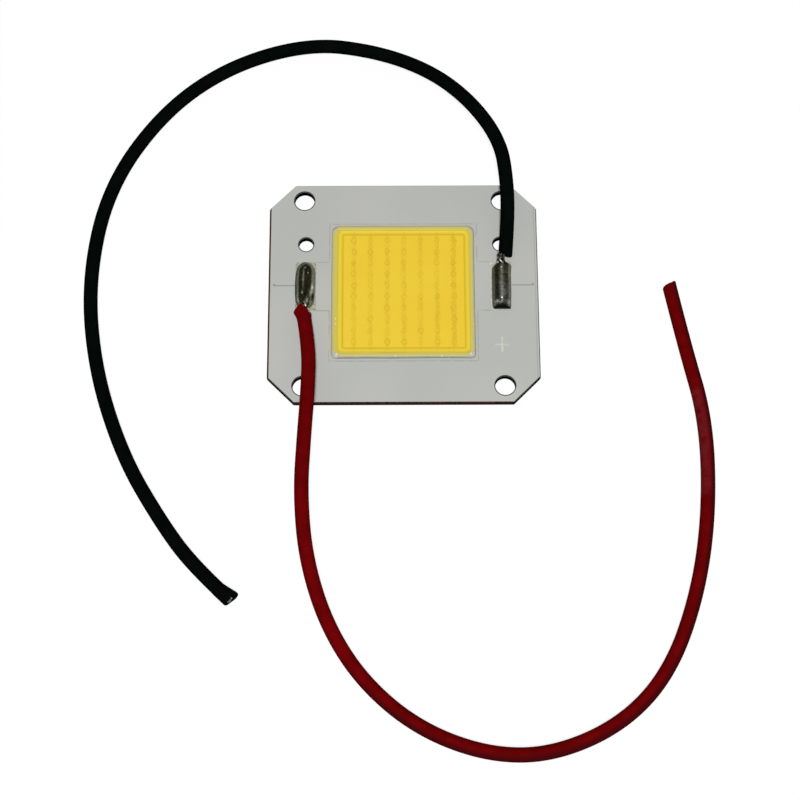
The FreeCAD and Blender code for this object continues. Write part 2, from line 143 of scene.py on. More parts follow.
class Value:
    # an output of a node, which is added, multiplied and compared as a number is, by further nodes
    def __init__(self, nodes, socket):
        self.nodes, self.socket = nodes, socket

    def __add__(self, other):
        return self.nodes.math("ADD", self, other)

    def __sub__(self, other):
        return self.nodes.math("SUBTRACT", self, other)

    def __rsub__(self, other):
        return self.nodes.math("SUBTRACT", other, self)

    def __mul__(self, other):
        return self.nodes.math("MULTIPLY", self, other)

    def __truediv__(self, other):
        return self.nodes.math("DIVIDE", self, other)

    def __gt__(self, other):
        return self.nodes.math("GREATER_THAN", self, other)

    def __lt__(self, other):
        return self.nodes.math("LESS_THAN", self, other)

    def __abs__(self):
        return self.nodes.math("ABSOLUTE", self)


class Nodes:
    # the nodes of a material or a world, and short ways to add and join them
    def __init__(self, owner):
        owner.use_nodes = True
        self.tree = owner.node_tree
        self.tree.nodes.clear()

    def add(self, kind, **settings):
        node = self.tree.nodes.new(kind)
        for key, value in settings.items():
            setattr(node, key, value)
        return node

    def out(self, node, which=0):
        return Value(self, node.outputs[which])

    def feed(self, value, entry):
        # a value from a node is joined, a tuple is a screen colour, anything else is set as it is
        if isinstance(value, Value):
            self.tree.links.new(value.socket, entry)
        elif isinstance(value, tuple):
            entry.default_value = colour(*value)
        else:
            entry.default_value = value

    def math(self, operation, *terms, clamp=False):
        node = self.add("ShaderNodeMath", operation=operation, use_clamp=clamp)
        for term, entry in zip(terms, node.inputs):
            self.feed(term, entry)
        return self.out(node)

    def larger(self, first, second):
        return self.math("MAXIMUM", first, second)

    def blend(self, share, first, second):
        node = self.add("ShaderNodeMix", data_type="RGBA")
        self.feed(share, node.inputs[0])
        self.feed(first, node.inputs[6])
        self.feed(second, node.inputs[7])
        return self.out(node, 2)

    def show(self, kind, share, first, second):
        # two shaders mixed by a share, on the surface of the output
        mix = self.add("ShaderNodeMixShader")
        for value, entry in zip((share, self.out(first), self.out(second)), mix.inputs):
            self.feed(value, entry)
        self.feed(self.out(mix), self.add(kind).inputs["Surface"])


class Finish(Nodes):
    # one material of a piece, with patterns in millimetres
    def __init__(self, name, base=None):
        self.base = base
        self.material = bpy.data.materials.new(name)
        super().__init__(self.material)
        self.shader = self.add("ShaderNodeBsdfPrincipled")
        self.feed(self.out(self.shader), self.add("ShaderNodeOutputMaterial").inputs["Surface"])
        scale = self.add("ShaderNodeVectorMath", operation="SCALE")
        scale.inputs["Scale"].default_value = 1 / mm
        self.feed(self.out(self.add("ShaderNodeTexCoord"), "Object"), scale.inputs[0])
        self.place = self.out(scale)

    def set(self, **values):
        for key, value in values.items():
            self.feed(value, self.shader.inputs[key.replace("_", " ")])

    def cover(self, share, shade):
        # lays a colour over the base colour, by a share
        self.base = self.blend(share, self.base, shade)

    def complete(self, **values):
        self.set(Base_Color=self.base, **values)
        return self.material

    def attribute(self, name):
        return self.out(self.add("ShaderNodeAttribute", attribute_name=name), "Fac")

    def normal(self, which="Normal"):
        # how far a surface faces along x, y and z
        return self.parts(self.out(self.add("ShaderNodeNewGeometry"), which))

    def parts(self, vector):
        node = self.add("ShaderNodeSeparateXYZ")
        self.feed(vector, node.inputs[0])
        return [self.out(node, axis) for axis in "XYZ"]

    def noise(self, scale, detail=2.0, roughness=0.5, vector=None):
        node = self.add("ShaderNodeTexNoise")
        node.inputs["Scale"].default_value = scale
        node.inputs["Detail"].default_value = detail
        node.inputs["Roughness"].default_value = roughness
        self.feed(vector or self.place, node.inputs["Vector"])
        return self.out(node, "Fac")

    def between(self, value, low, high):
        # 0 below low, 1 above high, smooth between; low above high turns it round
        node = self.add("ShaderNodeMapRange", interpolation_type="SMOOTHSTEP")
        self.feed(value, node.inputs["Value"])
        node.inputs["From Min"].default_value = min(low, high)
        node.inputs["From Max"].default_value = max(low, high)
        node.inputs["To Min"].default_value = 0.0 if low < high else 1.0
        node.inputs["To Max"].default_value = 1.0 if low < high else 0.0
        return self.out(node, "Result")

    def patchy(self, scale, detail, roughness, low, high):
        # noise broken into patches, 0 where it is under low and 1 where it is over high
        return self.between(self.noise(scale, detail, roughness), low, high)

    def ramp(self, value, stops):
        # stops are (value, colour), from the lowest value to the highest
        low, high = stops[0][0], stops[-1][0]
        spread = self.math("DIVIDE", value - low, high - low, clamp=True)
        node = self.add("ShaderNodeValToRGB")
        elements = node.color_ramp.elements
        while len(elements) < len(stops):
            elements.new(0.5)
        for element, (level, shade) in zip(elements, stops):
            element.position = (level - low) / (high - low)
            element.color = colour(*shade)
        self.feed(spread, node.inputs["Fac"])
        return self.out(node, "Color")

    def hump(self, value, centre, halfWidth):
        # 1 at the centre, falling smoothly to 0 at half a width away
        return self.between(abs(value - centre), halfWidth, 0.0)

    def distanceTo(self, x, y, spotX, spotY):
        dx, dy = x - spotX, y - spotY
        return self.math("SQRT", dx * dx + dy * dy)

    def spot(self, x, y, at, edge):
        # 1 near a place and 0 away from it, between the two distances of the edge
        return self.between(self.distanceTo(x, y, *at), *edge)

    def holeGap(self, x, y):
        # from a point to the nearest hole's wall, negative inside the hole
        across = abs(x)
        gaps = []
        for (*at, radius), along in ((holes["mount"], abs(y)), (holes["side"], y)):
            gaps.append(self.distanceTo(across, along, *at) - radius)
        return self.math("MINIMUM", *gaps)

    def bump(self, height, depth, strength=1.0):
        node = self.add("ShaderNodeBump")
        node.inputs["Distance"].default_value = depth * mm
        node.inputs["Strength"].default_value = strength
        self.feed(height, node.inputs["Height"])
        self.set(Normal=self.out(node))

    def relief(self, scale, detail, roughness, depth, strength=1.0):
        # noise raised by a depth
        self.bump(self.noise(scale, detail, roughness), depth, strength)


# Lengths in the looks and shapes are in millimetres. A patches setting has the noise's scale, detail and
# roughness, then where patches start and are full. A relief has scale, detail, roughness, depth, strength.
holes = dict(mount=(17.0, 17.0, 1.7), side=(16.65, 8.8, 1.25))  # x, y, radius
maskLook = dict(
    colour=(181, 182, 177),
    shade=(176, 178, 173),
    patches=(0.05, 1.0, 0.5, 0.35, 0.65),
    relief=(9.0, 3.0, 0.5, 0.004),
    # edges of the copper: fine lines that fade here and there and stop at the breaks
    line=(152, 153, 149),
    lineWidth=0.11,
    linePatches=(0.8, 2.0, 0.5, 0.3, 0.6),
    lineLeast=0.25,
    ringOutline=12.6,
    armEnds=(-3.45, 5.45),
    breakEnds=(8.6, 10.6),
    padInner=14.9,
    # a tail from each pad to a dot at x and y, with its radius
    tail=(140, 142, 134),
    tailEdge=1.17, tailWidth=0.15, tailFrom=18.5,
    tailDot=(22.05, 1.3, 0.28),
    # a stain on the left margin and a line along the right one
    margin=(186, 180, 156),
    marginEdge=(-22.0, -22.6),
    marginPatches=(2.4, 3.0, 0.6, 0.4, 0.65),
    marginShare=0.6,
    edgeLine=22.5, edgeWidth=0.14, edgeShare=0.7,
    # dark rims: painted shade round the holes and along the cut corners (by |x| - y), and a dark rim at the
    # left end
    rimShade=(9, 9, 7),
    holeRim=(0.18, 0.12),
    cutRim=(38.18, 38.28),
    leftEdge=(64, 36, 34),
    leftRim=(0.16, 0.08),
)


def maskFinish():
    # the coat steps up over the copper, which shows as fine grey lines round the ring and its arms
    look = maskLook
    finish = Finish("whiteMask", look["colour"])
    x, y, z = finish.parts(finish.place)
    ax, ay = abs(x), abs(y)
    low, high = look["armEnds"]
    breakLow, breakHigh = look["breakEnds"]
    turned = y * finish.math("SIGN", x)  # the right side's break is above, the left's below
    gap = finish.larger((y > low) * (y < high), (turned > breakLow) * (turned < breakHigh))
    width = look["lineWidth"]
    ring = finish.hump(finish.larger(ax, ay), look["ringOutline"], width) * (1.0 - (ax > ay) * gap)
    arm = finish.larger(finish.hump(y, low, width), finish.hump(y, high, width))
    arm = arm * (ax > look["ringOutline"]) * (ax < look["padInner"])
    fade = finish.patchy(*look["linePatches"]) + look["lineLeast"]
    lines = finish.math("MULTIPLY", finish.larger(ring, arm), fade, clamp=True)
    dotX, dotY, dotSize = look["tailDot"]
    tail = finish.hump(y, look["tailEdge"], look["tailWidth"]) * (ax > look["tailFrom"]) * (ax < dotX)
    dot = finish.spot(ax, y, (dotX, dotY), (dotSize, dotSize / 2))
    finish.cover(finish.patchy(*look["patches"]), look["shade"])
    finish.cover(lines, look["line"])
    finish.cover(finish.larger(tail, dot), look["tail"])
    stain = finish.between(x, *look["marginEdge"]) * finish.patchy(*look["marginPatches"])
    finish.cover(stain * look["marginShare"], look["margin"])
    finish.cover(finish.hump(x, look["edgeLine"], look["edgeWidth"]) * look["edgeShare"], look["line"])
    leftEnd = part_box("solder_mask")[0].x / mm
    finish.cover(finish.between(x, *[leftEnd + reach for reach in look["leftRim"]]), look["leftEdge"])
    # painted shade round the holes and along the cut corners
    rim = finish.between(finish.holeGap(x, y), *look["holeRim"])
    rim = finish.larger(rim, finish.between(ax - y, *look["cutRim"]))
    finish.cover(rim, look["rimShade"])
    finish.relief(*look["relief"])
    return finish.complete(Roughness=0.45, Specular_IOR_Level=0.2)


plateLook = dict(
    # light and dark of the broken sides: upper and right, lower, left
    sides=[((124, 122, 116), (96, 94, 88)), ((72, 44, 40), (22, 13, 12)), ((46, 22, 20), (6, 3, 3))],
    cutCorner=(7, 5, 5),
    # painted shade: the hole walls near black
    holeWallShade=(9, 9, 7),
    holeReach=0.15,
    underside=(168, 104, 76),
    underMetal=0.9,
    # how far a face has to face a way to count as facing it
    facing=0.3,
    facingDown=0.95,
    patches=(3.2, 3.0, 0.7, 0.4, 0.6),
    relief=(3.2, 4.0, 0.7, 0.12, 0.6),
)


def plateFinish():
    # the side faces are told apart by their normals, the hole walls by how near they are to a hole; the
    # hole walls are painted near black as shade
    look = plateLook
    finish = Finish("platedCopperPlate")
    x, y, z = finish.parts(finish.place)
    nx, ny, nz = finish.normal("True Normal")
    facing = look["facing"]
    speckle = finish.patchy(*look["patches"])
    other, lower, left = [finish.blend(speckle, dark, light) for light, dark in look["sides"]]
    finish.base = other
    finish.cover(ny < -facing, lower)
    finish.cover(nx < -facing, left)
    finish.cover(abs(nx) * abs(ny) > facing, look["cutCorner"])
    # painted shade: the hole walls near black
    finish.cover(finish.holeGap(x, y) < look["holeReach"], look["holeWallShade"])
    under = nz < -look["facingDown"]
    finish.cover(under, look["underside"])
    finish.relief(*look["relief"])
    return finish.complete(Metallic=under * look["underMetal"], Roughness=0.55, Specular_IOR_Level=0.0)


padLook = dict(
    left=((172, 172, 146), (120, 122, 100)),
    right=((182, 184, 176), (160, 162, 152)),
    strip=(206, 203, 174),
    stripEdge=(15.3, 15.0),
    patches=(3.0, 4.0, 0.7, 0.38, 0.58),
)


def platingFinish(side):
    # the right pad keeps a cream strip along its inner edge
    look = padLook
    bright, dull = look[side]
    finish = Finish(side + "PadPlating", dull)
    x, y, z = finish.parts(finish.place)
    if side == "right":
        bright = finish.blend(finish.between(x, *look["stripEdge"]), bright, look["strip"])
    finish.cover(finish.patchy(*look["patches"]), bright)
    return finish.complete(Metallic=0.3, Roughness=0.45)


inkLook = dict(solid=(199, 200, 180), thin=(185, 187, 178), patches=(1.6, 3.0, 0.6, 0.42, 0.6))


def inkFinish():
    finish = Finish("printedInk", inkLook["thin"])
    finish.cover(finish.patchy(*inkLook["patches"]), inkLook["solid"])
    return finish.complete(Roughness=0.7)


def plainFinish(name, light, dark, metallic, roughness, scale):
    # a finish for layers and inner pieces: two close shades broken up by noise
    finish = Finish(name, dark)
    finish.cover(finish.noise(scale, 3.0), light)
    return finish.complete(Metallic=metallic, Roughness=roughness)


gelLook = dict(
    field=(231, 200, 58),
    warm=(231, 196, 54),
    mark=(196, 160, 30),
    # shades from the window's edge out to the dam
    edge=[
        (10.2, (229, 196, 55)), (10.3, (214, 181, 44)), (10.38, (205, 172, 37)),
        (10.46, (213, 180, 42)), (10.58, (222, 191, 50)), (10.78, (228, 200, 63)),
        (11.0, (227, 200, 67)), (11.15, (212, 190, 60)), (11.3, (205, 187, 66)),
    ],
    edgeFade=(-0.1, 0.02),
    edgeDrift=(0.5, 0.16),  # scale, share of the warp
    cornerRound=0.06,
    warmPatches=(0.12, 2.0, 0.5, 0.42, 0.62),
    dies=(7, 10),
    dieSize=(0.76, 1.1),
    # how far the marks wander: slowly over large stretches, and less over small ones
    shift=0.07,
    warp=0.3,
    slowScale=0.8, quickScale=2.6, quickShare=0.5,
    # at dies and at wires: shift in rows, half width, half length, seed
    dieBlots=(0.5, 0.37, 0.46, 3.0),
    wireBlots=(0.0, 0.31, 0.4, 8.0),
    wireShare=0.6,
    # a blot's ring and its middle: their spread, least strength and weight
    ring=(0.6, 0.35, 0.85),
    middle=((1.3, 0.5), 0.1, 0.5),
    # a thread and a pale band along each column
    thread=(0.12, 0.16),
    threadPatches=(0.45, 1.0, 0.5, 0.38, 0.6),
    threadShare=0.4,
    bandEdge=(0.56, 0.3),
    bandPatches=(0.5, 1.0, 0.5, 0.3, 0.7),
    bandChange=0.4, bandLeast=0.4, bandShare=0.22,
    # the noise that breaks the marks up: scale, detail and roughness, then its gain and offset
    grain=(3.4, 4.0, 0.7),
    grainGain=(4.0, -1.15),
    fieldX=(9.5, 9.3), fieldY=(10.35, 10.2),
    # the marks are stronger towards the right
    strongerAt=(4.0, 8.4), strongerBy=0.5, weakest=0.85,
    markShare=0.66,
    markRelief=(0.03, 0.5),
    # end wires, between two reaches from the middle
    endWidth=0.14,
    endFrom=(10.1, 10.25),
    endTo=(10.95, 10.8),
    endColumns=(9.4, 9.2),
    endShare=0.45,
)


def gelFinish():
    # the dies and their wires show through the gel as faint chains of rings and blots
    look = gelLook
    dieLow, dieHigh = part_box("led_dies")
    columns, rows = look["dies"]
    dieWidth, dieLength = look["dieSize"]
    columnPitch = ((dieHigh.x - dieLow.x) / mm - dieWidth) / (columns - 1)
    rowPitch = ((dieHigh.y - dieLow.y) / mm - dieLength) / (rows - 1)
    finish = Finish("phosphorGel", look["field"])
    x, y, z = finish.parts(finish.place)
    x = x - look["shift"]

    def wander(scale, shift):
        # noise from minus the warp to the warp, read at a place shifted so that no two are alike
        moved = finish.add("ShaderNodeVectorMath", operation="ADD")
        finish.feed(finish.place, moved.inputs[0])
        moved.inputs[1].default_value = (shift, shift, 0)
        drift = finish.noise(scale, 2.0, vector=finish.out(moved)) - 0.5
        return drift * (look["warp"] * 2)

    def drifted(value, shift):
        quick = wander(look["quickScale"], shift + 20) * look["quickShare"]
        return value + (wander(look["slowScale"], shift) + quick)

    wx, wy = drifted(x, 0), drifted(y, 40)
    ax, ay = abs(x), abs(y)

    def cell(value, pitch, shift):
        # which step of the pitch a place is nearest to, and how far from it in millimetres
        steps = value / pitch + shift
        whole = finish.math("ROUND", steps)
        return whole, (steps - whole) * pitch

    column, dx = cell(wx, columnPitch, 0.0)

    def blots(rowShift, width, length, seed):
        # an oval ring with a middle at each step of the grid, each as strong as a seeded random number says
        row, dy = cell(wy, rowPitch, rowShift)
        where = finish.add("ShaderNodeCombineXYZ")
        for value, entry in zip((column, row, seed), where.inputs):
            finish.feed(value, entry)
        noise = finish.add("ShaderNodeTexWhiteNoise", noise_dimensions="3D")
        finish.feed(finish.out(where), noise.inputs["Vector"])
        chance = finish.add("ShaderNodeSeparateColor")
        finish.feed(finish.out(noise, "Color"), chance.inputs[0])
        away = finish.distanceTo(dx / width, dy / length, 0.0, 0.0)
        spread, least, weight = look["ring"]
        ring = finish.hump(away, 1.0, spread) * (finish.out(chance, 0) + least) * weight
        spread, least, weight = look["middle"]
        return ring + finish.between(away, *spread) * (finish.out(chance, 1) + least) * weight

    marks = blots(*look["dieBlots"]) + blots(*look["wireBlots"]) * look["wireShare"]
    thread = finish.hump(dx, *look["thread"]) * finish.patchy(*look["threadPatches"])
    band = finish.patchy(*look["bandPatches"]) * look["bandChange"]
    band = finish.between(abs(dx), *look["bandEdge"]) * (band + look["bandLeast"])
    gain, offset = look["grainGain"]
    grain = finish.larger(finish.noise(*look["grain"]) * gain + offset, 0.0)
    marks = (marks + thread * look["threadShare"]) * grain + band * look["bandShare"]
    inField = finish.between(ax, *look["fieldX"]) * finish.between(ay, *look["fieldY"])
    stronger = finish.between(x, *look["strongerAt"]) * look["strongerBy"]
    marks = finish.math("MULTIPLY", marks * (stronger + look["weakest"]), inField, clamp=True)
    finish.cover(finish.patchy(*look["warmPatches"]), look["warm"])
    finish.cover(marks * look["markShare"], look["mark"])
    # distance from the centre as a square with rounded corners
    lowest = look["edge"][0][0]
    reach = lowest - look["cornerRound"]
    overX, overY = finish.larger(ax - reach, 0.0), finish.larger(ay - reach, 0.0)
    scale, share = look["edgeDrift"]
    ring = finish.distanceTo(overX, overY, 0.0, 0.0) + reach + wander(scale, 90) * share
    onEdge = finish.between(ring, *[lowest + fade for fade in look["edgeFade"]])
    finish.cover(onEdge, finish.ramp(ring, look["edge"]))
    # end wires cross the edge above and below each column
    end = finish.hump(dx, 0.0, look["endWidth"]) * finish.between(ay, *look["endFrom"])
    end = end * finish.between(ay, *look["endTo"]) * finish.between(ax, *look["endColumns"])
    finish.cover(end * look["endShare"], look["mark"])
    finish.bump(marks, *look["markRelief"])
    return finish.complete(Roughness=0.4, Specular_IOR_Level=0.12)


damLook = dict(
    # colour across the bead: phosphor yellow glows through the inner half; the dark grey end is painted
    # shade along the outer foot
    across=[
        (0.0, (204, 187, 62)), (0.16, (204, 190, 68)), (0.34, (204, 190, 78)),
        (0.5, (201, 187, 97)), (0.66, (193, 183, 124)), (0.78, (185, 179, 142)),
        (0.88, (176, 174, 152)), (1.0, (142, 143, 132)),
    ],
    drift=(0.6, 2.0),
    driftShare=0.16,
    # painted highlights: pale specks on the lower part of the bead
    glintSpeck=(232, 232, 222),
    glintSpeckPatches=(2.3, 1.0, 0.5, 0.73, 0.78),
    glintSpecksAt=(2.0, -4.0),
    # painted shade: slopes that face the lower edge are a little darker
    slopeShade=(70, 66, 40),
    slopeShadeFacing=(0.0, -0.5),
    slopeShadeShare=0.16,
    # drops where the bead starts and ends, at the two lower corners, down to the foot
    drop=(184, 182, 170),
    dropAt=(11.78, -11.86),
    dropEdge=(0.95, 0.35),
    dropFoot=(0.97, 0.88),
    # a painted highlight: a bright dot on the crown beside each drop
    dot=(234, 231, 206),
    highlightAt=(11.3, -11.5),
    highlightEdge=(0.2, 0.06),
)


def damFinish():
    # the mesh says how far across the bead each place is, from its inner foot to its outer one
    look = damLook
    finish = Finish("damSilicone")
    across = finish.attribute("across")
    drift = (finish.noise(*look["drift"]) - 0.5) * look["driftShare"]
    finish.base = finish.ramp(across + drift, look["across"])
    nx, ny, nz = finish.normal()
    # painted shade on slopes that face the lower edge
    finish.cover(finish.between(ny, *look["slopeShadeFacing"]) * look["slopeShadeShare"], look["slopeShade"])
    x, y, z = finish.parts(finish.place)
    onDrop = finish.spot(abs(x), y, look["dropAt"], look["dropEdge"])
    finish.cover(onDrop * finish.between(across, *look["dropFoot"]), look["drop"])
    # painted highlight on the crown beside each drop
    finish.cover(finish.spot(abs(x), y, look["highlightAt"], look["highlightEdge"]), look["dot"])
    # painted highlights as pale specks on the lower part of the bead
    glintSpecks = finish.patchy(*look["glintSpeckPatches"]) * finish.between(y, *look["glintSpecksAt"])
    finish.cover(glintSpecks, look["glintSpeck"])
    return finish.complete(Roughness=0.3, Specular_IOR_Level=0.1)


solderLook = dict(
    # from the dark body to the glints: painted reflection and highlights on the metal
    shades=[
        (0.0, (16, 16, 10)), (0.25, (46, 45, 32)), (0.5, (98, 98, 87)), (0.75, (150, 151, 142)),
        (1.0, (236, 236, 230)),
    ],
    patches=(2.6, 4.0, 0.65),
    patchShare=0.68,
    # the lower part of the right joint is greyer
    greyFrom=(2.6, 0.2),
    greyShare=0.5,
    relief=(2.4, 3.0, 0.5, 0.05, 0.4),
)


def solderFinish():
    # painted light and shade: the mesh says how bright each place is, from where it lies on the joint,
    # standing in for reflections, highlights and shade; noise breaks that up
    look = solderLook
    finish = Finish("solder")
    patches = finish.noise(*look["patches"]) - 0.5
    level = finish.attribute("glint") + patches * look["patchShare"]
    x, y, z = finish.parts(finish.place)
    grey = finish.between(y, *look["greyFrom"]) * (x > 0.0)
    tone = finish.add("ShaderNodeHueSaturation")
    finish.feed(1.0 - grey * look["greyShare"], tone.inputs["Saturation"])
    finish.feed(finish.ramp(level, look["shades"]), tone.inputs["Color"])
    finish.base = finish.out(tone)
    finish.relief(*look["relief"])
    return finish.complete(Metallic=1.0, Roughness=0.42)


# tin and tarnish; the bright patches are partly painted highlights
strandLook = dict(bright=(178, 174, 158), dull=(44, 42, 30), patches=(2.0, 3.0, 0.5, 0.46, 0.68))


def strandFinish():
    finish = Finish("tinnedStrand", strandLook["dull"])
    finish.cover(finish.patchy(*strandLook["patches"]), strandLook["bright"])
    return finish.complete(Metallic=1.0, Roughness=0.42)


redLook = dict(
    shade=(107, 5, 8),
    dark=(93, 4, 6),
    scuffed=(124, 22, 24),
    # painted shade on the flanks and on the outer side of bends
    flankShade=(62, 9, 12),
    bendShadeShare=0.8,
    # a paler worn stretch, partly painted sheen
    wornSheen=(104, 30, 36),
    wornSheenShare=0.62,
)
blackLook = dict(
    shade=(7, 11, 10),
    dark=(4, 8, 7),
    scuffed=(32, 36, 35),
    # painted shade on the flanks and on the outer side of bends
    flankShade=(3, 5, 4),
    bendShadeShare=0.0,
    wornSheen=(14, 18, 17),
    wornSheenShare=0.0,
)
insulation = dict(
    patches=(0.35, 3.0, 0.6, 0.35, 0.7),
    scuffPatches=(1.3, 4.0, 0.7, 0.62, 0.76),
    scuffShare=0.5,
    # a paler stretch at the right bend, part wear and part painted sheen, most on the side away from the
    # bend
    wornSheenUpper=(-17.4, -18.6),
    wornSheenLower=(-36.9, -35.4),
    wornSheenRight=(30.0, 32.0),
    wornSheenPatches=(0.8, 3.0, 0.5, 0.25, 0.6),
    wornSheenFacing=(0.8, 0.5),
    # painted shade: the outer side of each bend is darker, and so are both flanks
    rightBend=(0.0, 45.0),
    lowerBend=(-52.0, -76.0),
    bendShadeFacing=(0.06, 0.6),
    flankShadeFacing=(0.45, 0.0),
    flankShadeShare=0.5,
    relief=(2.2, 3.0, 0.6, 0.03, 0.5),
)


def insulationFinish(name, tint):
    # soft plastic: faint mottling and small scuffs, with painted shade on the flanks and on the outer side
    # of bends, and painted sheen on a worn stretch
    look = insulation
    finish = Finish(name, tint["dark"])
    finish.cover(finish.patchy(*look["patches"]), tint["shade"])
    nx, ny, nz = finish.normal()
    x, y, z = finish.parts(finish.place)
    # a paler worn stretch, partly painted sheen
    wornSheen = finish.between(y, *look["wornSheenUpper"]) * finish.between(y, *look["wornSheenLower"])
    wornSheen = wornSheen * finish.between(x, *look["wornSheenRight"]) * finish.patchy(*look["wornSheenPatches"])
    most, less = look["wornSheenFacing"]
    finish.cover(wornSheen * (most - nx * less) * tint["wornSheenShare"], tint["wornSheen"])
    # painted shade on the outer side of each bend and on both flanks
    right = nx * finish.between(x, *look["rightBend"])
    lower = ny * -1.0 * finish.between(y, *look["lowerBend"])
    outer = finish.between(right + lower, *look["bendShadeFacing"])
    finish.cover(outer * tint["bendShadeShare"], tint["flankShade"])
    finish.cover(finish.between(nz, *look["flankShadeFacing"]) * look["flankShadeShare"], tint["flankShade"])
    finish.cover(finish.patchy(*look["scuffPatches"]) * look["scuffShare"], tint["scuffed"])
    finish.relief(*look["relief"])
    return finish.complete(Roughness=0.5, Specular_IOR_Level=0.0)


redPlastic = insulationFinish("redInsulation", redLook)
blackPlastic = insulationFinish("blackInsulation", blackLook)
solderMetal = solderFinish()
strandMetal = strandFinish()
damSilicone = damFinish()
gelSilicone = gelFinish()
nodeFinishes = dict(
    base_plate=plateFinish(),
    solder_mask=maskFinish(),
    pad_plating_left=platingFinish("left"),
    pad_plating_right=platingFinish("right"),
    polarity_mark=inkFinish(),
)
for nodeNames, *values in (
    # nodes, then name, light, dark, metallic, roughness and the noise's scale
    (["track_left", "track_right"], "trackCopper", (190, 130, 95), (160, 100, 70), 1.0, 0.4, 2.0),
    (["dielectric_layer"], "dielectric", (176, 172, 162), (150, 146, 138), 0.0, 0.6, 3.0),
    (["led_dies"], "dieSapphire", (140, 158, 178), (120, 138, 160), 0.0, 0.15, 4.0),
    (["bond_wires"], "bondGold", (230, 184, 90), (200, 150, 60), 1.0, 0.25, 6.0),
):
    nodeFinishes.update(dict.fromkeys(nodeNames, plainFinish(*values)))
for nodeName, material in nodeFinishes.items():
    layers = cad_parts[nodeName].data.materials
    layers.clear()
    layers.append(material)
print("finishes made")

# Leads: the routes are the solids' own, in metres

blackLead = dict(
    route=[
        (0.01745, 0.00695, 0.00303), (0.0179, 0.0123, 0.0042), (0.0178, 0.0187, 0.0056),
        (0.0168, 0.0260, 0.0061), (0.0120, 0.0340, 0.0054), (0.0050, 0.0408, 0.0040),
        (-0.0046, 0.0455, 0.0026), (-0.0164, 0.0477, 0.0016), (-0.0305, 0.0435, 0.0012),
        (-0.0420, 0.0345, 0.0012), (-0.0510, 0.0200, 0.0012), (-0.0538, 0.0030, 0.0012),
        (-0.0520, -0.0135, 0.0012), (-0.0467, -0.0290, 0.0012), (-0.0400, -0.0403, 0.0012),
        (-0.0343, -0.0480, 0.0012), (-0.0283, -0.0535, 0.0012),
    ],
    length=0.188,
)
redLead = dict(
    route=[
        (-0.01687, -0.0049, 0.00304), (-0.0158, -0.0112, 0.0042), (-0.0159, -0.0195, 0.0056),
        (-0.0164, -0.0275, 0.0061), (-0.0169, -0.0370, 0.0054), (-0.0159, -0.0478, 0.0040),
        (-0.0124, -0.0585, 0.0026), (-0.0065, -0.0674, 0.0016), (0.0022, -0.0746, 0.0012),
        (0.0130, -0.0787, 0.0012), (0.0233, -0.0787, 0.0012), (0.0344, -0.0739, 0.0012),
        (0.0423, -0.0656, 0.0012), (0.0474, -0.0528, 0.0012), (0.0500, -0.0387, 0.0012),
        (0.0503, -0.0230, 0.0012), (0.0474, -0.0100, 0.0012), (0.0454, 0.0007, 0.0012),
    ],
    length=0.19,
)
leadDiameter = 0.0024
leadSteps = dict(along=14, round=7)


def layLead(name, lead, node, material):
    # a curve steered by the route's points, as thick as the lead
    curve = bpy.data.curves.new(name, "CURVE")
    curve.dimensions = "3D"
    spline = curve.splines.new("NURBS")
    spline.points.add(len(lead["route"]) - 1)
    for point, place in zip(spline.points, lead["route"]):
        point.co = (*place, 1.0)
    spline.order_u = 3
    spline.use_endpoint_u = True
    spline.resolution_u = leadSteps["along"]
    curve.bevel_depth = leadDiameter / 2
    curve.bevel_resolution = leadSteps["round"]
    curve.use_fill_caps = True
    curve.materials.append(material)
    piece = addObject(name, curve)
    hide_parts(node)
    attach(piece, "root")
    return piece


blackCord = layLead("blackLead", blackLead, "lead_black", blackPlastic)
redCord = layLead("redLead", redLead, "lead_red", redPlastic)
print("leads laid")

# Dam

damShape = dict(
    middle=11.6, halfWidth=0.62, cornerRadius=0.75,
    base=1.4, crown=2.05,
    # powers of the cosine across the bead and of the sine above it
    powers=(0.85, 0.8),
    # slow waves round the ring, each with a height, a count and a start, and how much they widen and raise
    waver=0.035,
    waves=[(1.0, 5, 1.0), (0.6, 11, 0.0), (0.4, 17, 2.0)],
    widen=0.5, heighten=0.6, sink=0.06,
    cornerFrom=10.2, cornerRun=1.2,
    bulge=0.3, upperBulge=0.03,
    innerGap=0.03,
    # the yellow stops short in the corners
    pale=0.34, palest=0.9,
    # painted shade: how dark the outer foot is, darkest on the right and lower sides, and how far it
    # reaches out, on the right, upper, left and lower sides
    footShade=(1.0, 0.62, 0.5, 1.0),
    footReach=(-0.07, -0.08, 0.06, -0.08),
    straightSteps=60, cornerSteps=16, sectionSteps=28,
)


def roundedSquare(half, radius, straightSteps, cornerSteps):
    # a side and a corner as complex numbers, then the same turned by each quarter: points, outward normals
    reach = half - radius
    straight = half + 1j * np.linspace(-reach, reach, straightSteps, endpoint=False)
    corner = np.exp(1j * np.linspace(0, math.pi / 2, cornerSteps, endpoint=False))
    places = np.concatenate([straight, reach * (1 + 1j) + radius * corner])
    both = np.stack([places, np.concatenate([np.ones(straightSteps), corner])])
    both = np.concatenate([both * 1j ** quarter for quarter in range(4)], axis=1)
    return np.stack([both.real, both.imag], -1)


